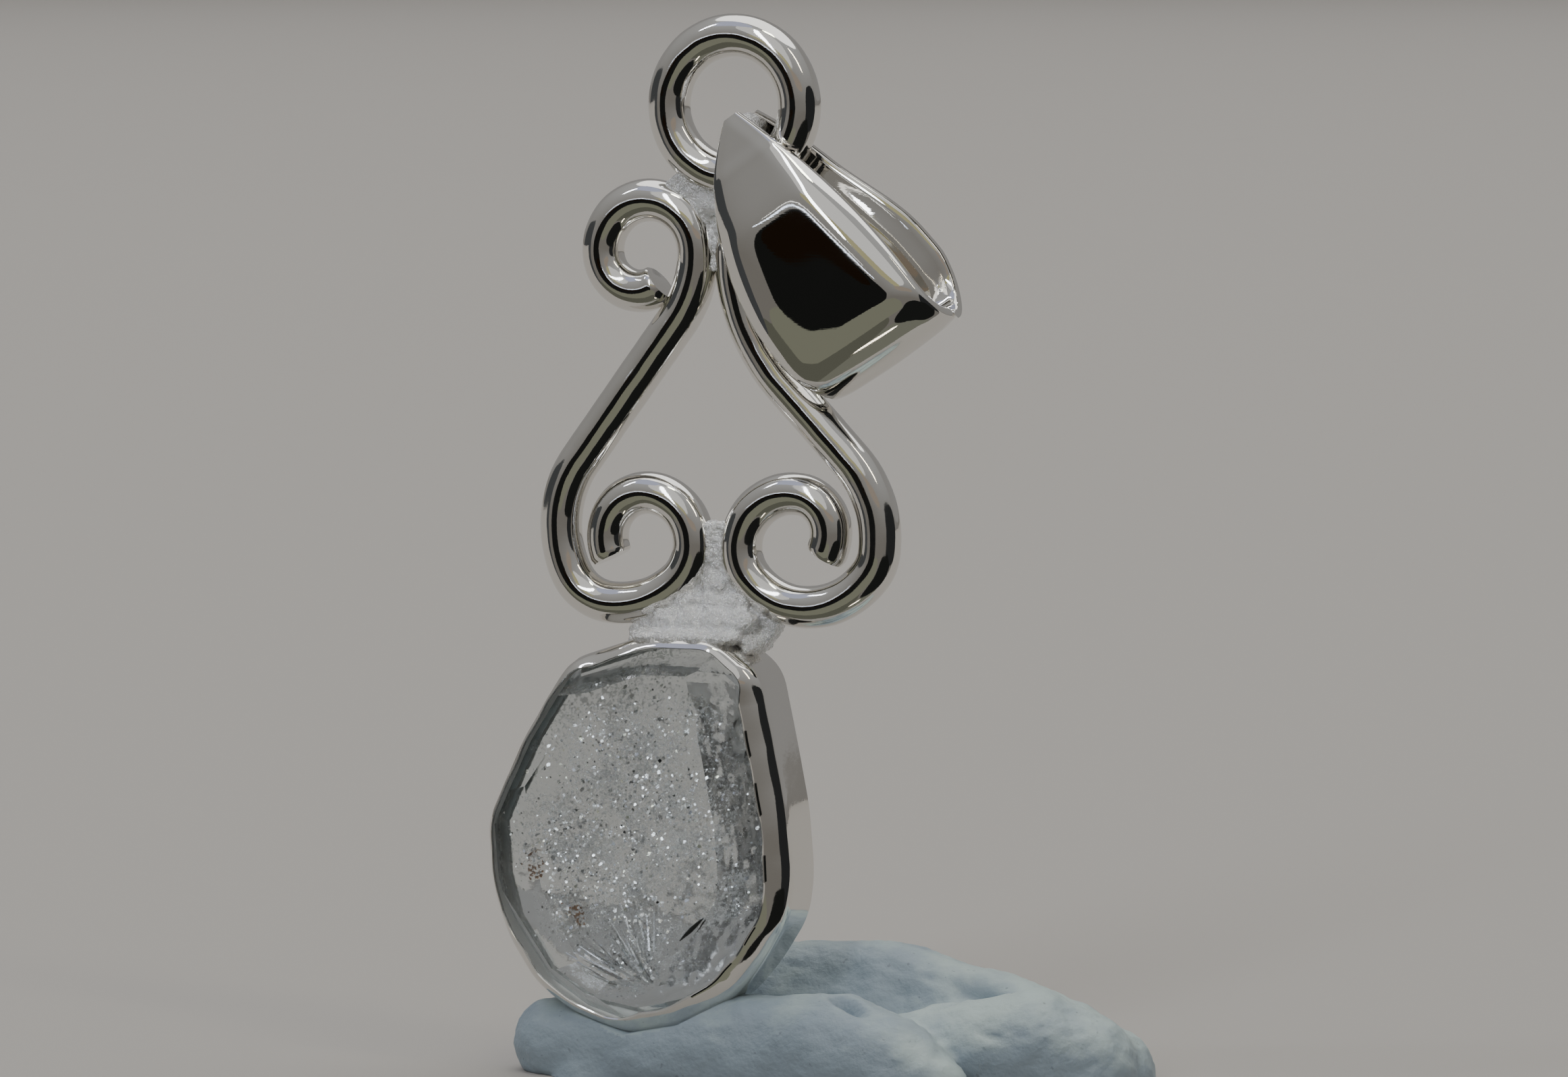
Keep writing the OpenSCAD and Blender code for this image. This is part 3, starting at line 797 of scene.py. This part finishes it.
def back_depth(place, share):
    """How far the crystal's natural back lies in from a flat one: broad leaning faces with etched grain."""
    depth = 0.05 + 0.07 * noise.fractal(Vector(place) * 0.8, 0.9, 2.0, 3)
    depth += 0.025 * noise.noise(Vector(place) * 3.3) + 0.008 * noise.noise(Vector(place) * 7.0)
    for turn, lean, where in BACK_FACES:
        a = math.radians(turn)
        over = (place[0] - STONE_AT[0]) * math.cos(a) + (place[2] - STONE_AT[1]) * math.sin(a) - where
        depth += max(over, 0.0) * math.tan(math.radians(lean))
    return share * min(max(depth, 0.0), BACK_MOST)


def square_to(way):
    """Two ways that are square to a way and to each other."""
    u = way.orthogonal().normalized()
    return u, way.cross(u)


def film_wave(a, b, seed):
    """How far a healed fracture waves off its plane, at a place on that plane."""
    return FILM_WAVE * noise.noise(Vector((a * 0.7, b * 0.7, seed)))


def flakes(name, places, facing, size, finish, seed, planes):
    """Small flat flakes at places inside the crystal, each turned near its own facing, or every way without one."""
    draw = random.Random(seed)
    kept = inside_stone(np.array(places), planes, size[1] * 0.6)
    points, faces = [], []
    for place, face, keep in zip(places, facing, kept):
        if not keep:
            continue
        half = draw.uniform(*size) / 2
        loose = Vector([draw.gauss(0, 1) for _ in range(3)])
        normal = (Vector(face).normalized() + loose * FLAKE_LOOSE).normalized() if face else loose.normalized()
        u, v = square_to(normal)
        start = len(points)
        corners = draw.choice((4, 5, 6))
        long = draw.uniform(0.6, 1.6)
        for k in range(corners):
            turn = 2 * math.pi * (k + draw.uniform(-0.3, 0.3)) / corners
            points.append(Vector(place) + (u * math.cos(turn) * long + v * math.sin(turn)) * half)
        faces.append(tuple(range(start, start + corners)))
    piece = mesh_object(name, points, faces, finish)
    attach(piece, "pendant")


class PENDANT_OT_crystal(bpy.types.Operator):
    """The crystal, and what lies inside it"""
    bl_idname = "pendant.crystal"
    bl_label = "Add the crystal"

    def execute(self, context):
        planes = stone_planes()
        piece = mesh_object("crystal_stone", *stone_mesh(planes), material(clear_quartz), 9)
        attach(piece, "pendant")
        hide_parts("crystal")
        draw = random.Random(SEED)
        places, facing = [], []
        for middle, way, radius, number in VEILS:
            way = Vector(way).normalized()
            u, v = square_to(way)
            for _ in range(number):
                a, b = (radius * draw.gauss(0, 0.45) for _ in range(2))
                place = Vector(middle) + u * a + v * b + way * (film_wave(a, b, number) + draw.gauss(0, 0.06))
                thin = noise.noise(place * 1.3)
                clear = sum(((c - m) / h) ** 2 for c, m, h in zip((place.x, place.z), *CLEAR_WINDOW)) < 1
                if thin > -0.2 and not clear:
                    places.append(tuple(place))
                    facing.append(tuple(way))
        glint = material(fracture_glint)
        flakes("crystal_flakes", places[::2], facing[::2], (0.03, 0.1), glint, 1, planes)
        frost = material(plain_material, "Healed fracture, frosted", "#ffffff", 0.35)
        flakes("crystal_frost", places[1::5], facing[1::5], (0.03, 0.1), frost, 5, planes)
        sparks = [tuple(c + draw.gauss(0, 0.3) for c in p) for p in places if draw.random() < 0.3]
        flakes("crystal_sparks", sparks, [SPARKS_FACE] * len(sparks), (0.04, 0.16), glint, 2, planes)
        self.veils(planes)
        dark = material(plain_material, "Dark mineral specks", "#3b3c3a", 0.5)
        specks = [tuple(c + draw.gauss(0, 0.1) for c in p) for p in places if draw.random() < 0.015]
        flakes("crystal_specks", specks, [None] * len(specks), (0.04, 0.12), dark, 3, planes)
        rust = material(plain_material, "Iron stain", "#c9a68c", 0.6)
        stains = [(m[0] + h[0] * draw.gauss(0, 0.5), -1.2 + draw.gauss(0, 0.1), m[1] + h[1] * draw.gauss(0, 0.5))
                  for m, h in STAINS for _ in range(STAIN_FLAKES)]
        flakes("crystal_stain", stains, [None] * len(stains), (0.08, 0.2), rust, 4, planes)
        self.streaks(planes, glint)
        self.needle(dark)
        return {"FINISHED"}

    def veils(self, planes):
        """The films that the flakes lie in, wavy and trimmed to the crystal."""
        points, faces, fades = [], [], []
        steps, row = FILM_STEPS, FILM_STEPS + 1
        for middle, way, radius, number in VEILS:
            way = Vector(way).normalized()
            u, v = square_to(way)
            start = len(points)
            for i in range(row):
                for k in range(row):
                    a, b = (radius * FILM_REACH * (2 * t / steps - 1) for t in (i, k))
                    points.append(np.array(Vector(middle) + u * a + v * b + way * film_wave(a, b, number)))
                    fades.append(max(0.0, 1 - (a * a + b * b) / (radius * FILM_REACH) ** 2))
            inside = inside_stone(np.array(points[start:]), planes, 0.15)
            for i in range(steps):
                for k in range(steps):
                    square = [i * row + k, (i + 1) * row + k, (i + 1) * row + k + 1, i * row + k + 1]
                    if all(inside[c] and fades[start + c] > 0 for c in square):
                        faces.append(tuple(start + c for c in square))
        piece = mesh_object("crystal_veils", points, faces, material(fracture_veil))
        piece.data.attributes.new("fade", "FLOAT", "POINT").data.foreach_set("value", fades)
        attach(piece, "pendant")

    def streaks(self, planes, finish):
        """Thin bright growth lines that fan out from near the crystal's foot."""
        draw = random.Random(SEED + 1)
        points, faces = [], []
        for i in range(FAN_LINES):
            turn = math.radians(FAN_FIRST + i * FAN_NEXT + draw.uniform(-1.5, 1.5))
            near, far = draw.uniform(0.6, 2.2), draw.uniform(2.2, 4.0)
            depth = -1.3 + draw.gauss(0, 0.25)
            width = draw.uniform(0.02, 0.07)
            a = np.array([FAN_FOOT[0] + near * math.cos(turn), depth, FAN_FOOT[1] + near * math.sin(turn)])
            b = np.array([FAN_FOOT[0] + far * math.cos(turn), depth + 0.4, FAN_FOOT[1] + far * math.sin(turn)])
            if not inside_stone(np.array([a, b]), planes, 0.08).all():
                continue
            side = np.array([-math.sin(turn), draw.uniform(-0.8, 0.8), math.cos(turn)]) * width
            start = len(points)
            points += [a - side, a + side, b + side * 0.2, b - side * 0.2]
            faces.append(tuple(range(start, start + 4)))
        piece = mesh_object("crystal_streaks", points, faces, finish)
        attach(piece, "pendant")

    def needle(self, finish):
        """A dark needle and a dark dot."""
        a, b = (Vector(p) for p in NEEDLE)
        way = (b - a).normalized()
        u = way.cross(Vector((0, 1, 0))).normalized()
        v = way.cross(u)
        points, sides, rings = [], 8, 9
        for i in range(rings):
            t = i / (rings - 1)
            r = NEEDLE_R * math.sin(math.pi * (0.08 + 0.84 * t))
            for k in range(sides):
                turn = 2 * math.pi * k / sides
                points.append(a + (b - a) * t + (u * math.cos(turn) + v * math.sin(turn)) * r)
        faces = tube_faces(rings, sides, False)
        start = len(points)
        points += [Vector(BLACK_DOT) + Vector(d) * DOT_R
                   for d in ((1, 0, 0), (-1, 0, 0), (0, 1, 0), (0, -1, 0), (0, 0, 1), (0, 0, -1))]
        for i in (0, 1):
            for j in (2, 3):
                for k in (4, 5):
                    faces.append((start + i, start + j, start + k))
        piece = mesh_object("crystal_needle", points, faces, finish)
        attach(piece, "pendant")


class PENDANT_OT_bail(bpy.types.Operator):
    """The folded leaf that the chain passes through"""
    bl_idname = "pendant.bail"
    bl_label = "Add the bail"

    def execute(self, context):
        sheet = context.scene.pendant_sizes.sheet / MM
        path = self.path(sheet)
        turns = [math.radians(t) for t in EDGE_TURNS]
        points = []
        for s, y, lean in path:
            left, right = (max(half, LEAST_HALF) for half in self.half_widths(s, y))
            normal = (-math.sin(lean), math.cos(lean))
            run = [-left + EDGE_R + (left + right - 2 * EDGE_R) * k / (ACROSS - 1) for k in range(ACROSS)]
            section = [(w, 0.5) for w in run]
            section += [(right - EDGE_R + EDGE_R * math.cos(t), 0.5 * math.sin(t)) for t in turns]
            section += [(w, -0.5) for w in run[::-1]]
            section += [(-left + EDGE_R - EDGE_R * math.cos(t), -0.5 * math.sin(t)) for t in turns]
            for w, out in section:
                away = out * sheet
                if out > 0:
                    away += self.swell(s, y) * (1 - (w / (left if w < 0 else right)) ** 4)
                    away -= (WORN_RIGHT * smooth_step(right - WORN_W, right, w)
                             + WORN_LEFT * smooth_step(-left + WORN_W, -left, w))
                    away -= WORN_LOW * smooth_step(*WORN_LOW_RISES, s) * smooth_step(WORN_LOW_FROM, -left, w)
                elif y < 0:
                    away += REAR_FLARE * smooth_step(right - REAR_FLARE_W, right, w)
                points.append((s + normal[0] * away, w, y + normal[1] * away))
        faces = tube_faces(len(path), 2 * ACROSS + 2 * len(EDGE_TURNS), False)
        piece = mesh_object("bail_leaf", [self.turned(p) for p in points], faces, material(sheet_silver), 50)
        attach(piece, "bail")
        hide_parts("bail")
        blob, _, blob_faces = skin_of([ellipsoid(*BAIL_RUN)], SOLDER_GRAIN, 3)
        join = mesh_object("bail_solder", [self.turned(p) for p in blob], blob_faces, material(solder_silver))
        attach(join, "bail")
        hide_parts("bail")
        return {"FINISHED"}

    def swell(self, s, y):
        """How far the polished outside bulges past a flat sheet."""
        bulge = float(np.interp(s, SWELL_AT, SWELL))
        return bulge if y > 0 else REAR_SHARE * bulge

    def path(self, sheet):
        """Length, depth and slope along the middle of the sheet, from the front tip round the fold to the rear."""
        slope = math.tan(TIP_LEAN)
        start = BAIL_GAP + sheet / 2 / math.cos(TIP_LEAN)
        bend_s = BEND_AT + BEND_R * (math.sin(TIP_LEAN) - math.sin(PANEL_LEAN))
        bend_y = start + BEND_AT * slope + BEND_R * (math.cos(PANEL_LEAN) - math.cos(TIP_LEAN))
        end = BAIL_L - sheet / 2
        fold = (bend_y * math.cos(PANEL_LEAN) + (end - bend_s) * math.sin(PANEL_LEAN)) / (1 + math.sin(PANEL_LEAN))
        fold_s = end - fold
        flat_end = fold_s - fold * math.sin(PANEL_LEAN)
        half = [(s, start + s * slope, TIP_LEAN) for s in np.linspace(TIP_AT, BEND_AT, 12)]
        for lean in np.linspace(TIP_LEAN, PANEL_LEAN, 10)[1:]:
            half.append((BEND_AT + BEND_R * (math.sin(TIP_LEAN) - math.sin(lean)),
                         start + BEND_AT * slope + BEND_R * (math.cos(lean) - math.cos(TIP_LEAN)), lean))
        for s in np.linspace(bend_s, flat_end, 40)[1:]:
            half.append((s, bend_y + (s - bend_s) * math.tan(PANEL_LEAN), PANEL_LEAN))
        for turn in np.linspace(math.pi / 2 + PANEL_LEAN, 0, 20)[1:]:
            half.append((fold_s + fold * math.cos(turn), fold * math.sin(turn), turn - math.pi / 2))
        rear = [(s, -y, math.pi - lean) for s, y, lean in half[-2::-1]]
        return half + rear

    def half_widths(self, s, y):
        """Half widths to the left and the right at a length; the rear panel swings out further on the right."""
        widths = [w - (r - math.sqrt(max(r * r - (s - at) ** 2, 0.0))) for w, at, r in (LEFT_EDGE, RIGHT_EDGE)]
        swing = REAR_SWING * smooth_step(*SWING_RISES, s) * (1 - smooth_step(*SWING_FALLS, s))
        return widths[0], widths[1] + (swing if y < 0 else 0.0)

    def turned(self, point):
        """From the leaf's own length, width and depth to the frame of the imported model, hanging at its rest."""
        s, w, depth = point
        along_it = (math.sin(BAIL_REST), -math.cos(BAIL_REST))
        across_it = (math.cos(BAIL_REST), math.sin(BAIL_REST))
        return (RING_X + s * along_it[0] + w * across_it[0], -depth, RING_Z + s * along_it[1] + w * across_it[1])


class PENDANT_OT_putty(bpy.types.Operator):
    """The lump of putty that the pendant stands in"""
    bl_idname = "pendant.putty"
    bl_label = "Add the putty"

    def execute(self, context):
        parts = sum((along(roll, 0.5) for roll in (FRONT_ROLL, REAR_RIDGE, SIDE_LOBE, PAD)), [])
        points, normals, faces = skin_of(parts, PUTTY_GRAIN, 5)
        low, high = (np.array(v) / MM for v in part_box("putty_stand"))
        for i, (point, normal) in enumerate(zip(points, normals)):
            away = 0.13 * noise.fractal(Vector(point) * 0.55, 0.9, 2.0, 4)
            away += 0.035 * noise.noise(Vector(point) * 2.6) + 0.015 * noise.noise(Vector(point) * 5.5)
            for a, b, width, depth in CREASES:
                a, b = np.array(a), np.array(b)
                t = np.clip(np.dot(point - a, b - a) / np.dot(b - a, b - a), 0, 1)
                gap = np.linalg.norm(point - a - (b - a) * t)
                away -= depth * math.exp(-(gap / width) ** 2)
            for middle, radius, depth in MARKS:
                away -= depth * math.exp(-(np.linalg.norm(point - np.array(middle)) / radius) ** 2)
            points[i] = point + normal * away
        points = np.clip(points, low + 0.01, high - 0.01)
        points[:, 2] = np.maximum(points[:, 2], 0.0)
        piece = mesh_object("putty_lump", points, faces, material(kneaded_putty))
        self.press(piece)
        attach(piece, "pendant")
        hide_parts("putty_stand")
        return {"FINISHED"}

    def press(self, piece):
        """Cuts the space that the bezel has pressed into the putty."""
        corners = outline_points()
        middle = sum(corners) / len(corners)
        ring = [c + (middle - c) / np.linalg.norm(middle - c) * PRESS_IN for c in corners]
        cutter = mesh_object("cutter", *slab(ring, PRESS_DEPTHS), material(kneaded_putty))
        cut = piece.modifiers.new("Press", "BOOLEAN")
        cut.operation = "DIFFERENCE"
        cut.solver = "EXACT"
        cut.object = cutter
        bpy.context.view_layer.update()
        shaped = bpy.data.meshes.new_from_object(piece.evaluated_get(bpy.context.evaluated_depsgraph_get()))
        piece.modifiers.clear()
        piece.data = shaped
        bpy.data.objects.remove(cutter)


class PENDANT_OT_stage(bpy.types.Operator):
    """The camera, the floor and the lights"""
    bl_idname = "pendant.stage"
    bl_label = "Add the stage"

    def execute(self, context):
        self.camera()
        self.floor(context.scene.pendant_sizes)
        self.surroundings()
        for number, card in enumerate(CARDS):
            self.card(CARDS_FAR - CARD_STEP * number, *card)
        return {"FINISHED"}

    def camera(self):
        """The camera at the photograph's view."""
        back = direction(VIEW_TURN, VIEW_RISE)
        data = bpy.data.cameras.new("photo_view")
        data.sensor_width = SENSOR
        data.lens = SENSOR * VIEW_FAR / VIEW_W
        data.clip_start = 0.01
        camera = bpy.data.objects.new("photo_view", data)
        camera.location = (Vector(VIEW_AT) + back * VIEW_FAR) * MM
        camera.rotation_euler = back.to_track_quat("Z", "Y").to_euler()
        bpy.context.scene.collection.objects.link(camera)
        bpy.context.scene.camera = camera

    def floor(self, sizes):
        """A pale floor in two halves. Reflections and bounced light don't meet the half in front of the object."""
        along, back = Vector(direction(VIEW_TURN + 90, 0)), -Vector(direction(VIEW_TURN, 0))
        seam = Vector((VIEW_AT[0], VIEW_AT[1], 0)) * MM - back * sizes.floor_front
        made = surfaced(new_material("Matte card, pale grey"),
                        {"Base Color": bpy.context.scene.pendant_colours.floor[:], "Roughness": 1.0,
                         "Specular IOR Level": 0.0})
        for name, away in (("floor", back), ("floor_front", -back)):
            near = [seam - along * sizes.floor, seam + along * sizes.floor]
            mesh = bpy.data.meshes.new(name)
            mesh.from_pydata(near + [p + away * sizes.floor for p in near[::-1]], [], [(0, 1, 2, 3)])
            mesh.materials.append(made)
            floor = bpy.data.objects.new(name, mesh)
            bpy.context.scene.collection.objects.link(floor)
            if name == "floor_front":
                floor.visible_glossy = floor.visible_diffuse = floor.visible_transmission = False

    def surroundings(self):
        """A grey room, paler above."""
        world = bpy.data.worlds.new("studio")
        world.use_nodes = True
        tree = world.node_tree
        tree.nodes.clear()
        place = add(tree, "ShaderNodeTexCoord")
        split = add(tree, "ShaderNodeSeparateXYZ", {}, {0: (place, "Generated")})
        height = ranged(tree, (split, "Z"), -0.1, 0.95)
        sky = add(tree, "ShaderNodeMix", {"data_type": "RGBA", 6: linear("#74716d"), 7: linear("#b0b1b2")},
                  {0: (height, 0)})
        light = add(tree, "ShaderNodeBackground", {"Strength": 1.0}, {"Color": (sky, 2)})
        out = add(tree, "ShaderNodeOutputWorld")
        tree.links.new(light.outputs[0], out.inputs[0])
        bpy.context.scene.world = world

    def card(self, far, name, turn, rise, wide, tall, hex_colour, brightness):
        """A glowing or dark card that the camera doesn't see, but the silver mirrors."""
        back = direction(turn, rise)
        half_w, half_h = (far * math.tan(math.radians(v) / 2) for v in (wide, tall))
        mesh = bpy.data.meshes.new(name)
        turns = [2 * math.pi * k / CARD_CORNERS for k in range(CARD_CORNERS)]
        mesh.from_pydata([(math.copysign(abs(math.cos(t)) ** CARD_ROUND * half_w, math.cos(t)),
                           math.copysign(abs(math.sin(t)) ** CARD_ROUND * half_h, math.sin(t)), 0) for t in turns],
                         [], [tuple(range(CARD_CORNERS))])
        mesh.materials.append(surfaced(new_material(name), {"Color": linear(hex_colour), "Strength": brightness},
                                       kind="ShaderNodeEmission"))
        card = bpy.data.objects.new(name, mesh)
        card.location = back * far
        card.rotation_euler = back.to_track_quat("Z", "Y").to_euler()
        card.visible_camera = False
        bpy.context.scene.collection.objects.link(card)


class PENDANT_PT_pieces(bpy.types.Panel):
    """Lists the pieces, their sizes and their colours"""
    bl_label = "Pendant"
    bl_space_type = "VIEW_3D"
    bl_region_type = "UI"
    bl_category = "Pendant"

    def draw(self, context):
        for group in (context.scene.pendant_sizes, context.scene.pendant_colours):
            for name in group.__annotations__:
                self.layout.prop(group, name)
        for operator in OPERATORS:
            self.layout.operator(operator.bl_idname)


OPERATORS = (PENDANT_OT_stage, PENDANT_OT_scrolls, PENDANT_OT_ring, PENDANT_OT_solder, PENDANT_OT_bezel,
             PENDANT_OT_crystal, PENDANT_OT_bail, PENDANT_OT_putty)
CLASSES = (PendantSizes, PendantColours) + OPERATORS + (PENDANT_PT_pieces,)


def register():
    for kind in CLASSES:
        bpy.utils.register_class(kind)
    bpy.types.Scene.pendant_sizes = bpy.props.PointerProperty(type=PendantSizes)
    bpy.types.Scene.pendant_colours = bpy.props.PointerProperty(type=PendantColours)


def unregister():
    del bpy.types.Scene.pendant_colours
    del bpy.types.Scene.pendant_sizes
    for kind in reversed(CLASSES):
        bpy.utils.unregister_class(kind)


def main():
    """Builds every piece."""
    register()
    bpy.ops.pendant.stage()
    bpy.ops.pendant.scrolls()
    bpy.ops.pendant.ring()
    bpy.ops.pendant.solder()
    bpy.ops.pendant.bezel()
    bpy.ops.pendant.crystal()
    bpy.ops.pendant.bail()
    bpy.ops.pendant.putty()
    bpy.context.view_layer.update()


if __name__ == "__main__":
    main()
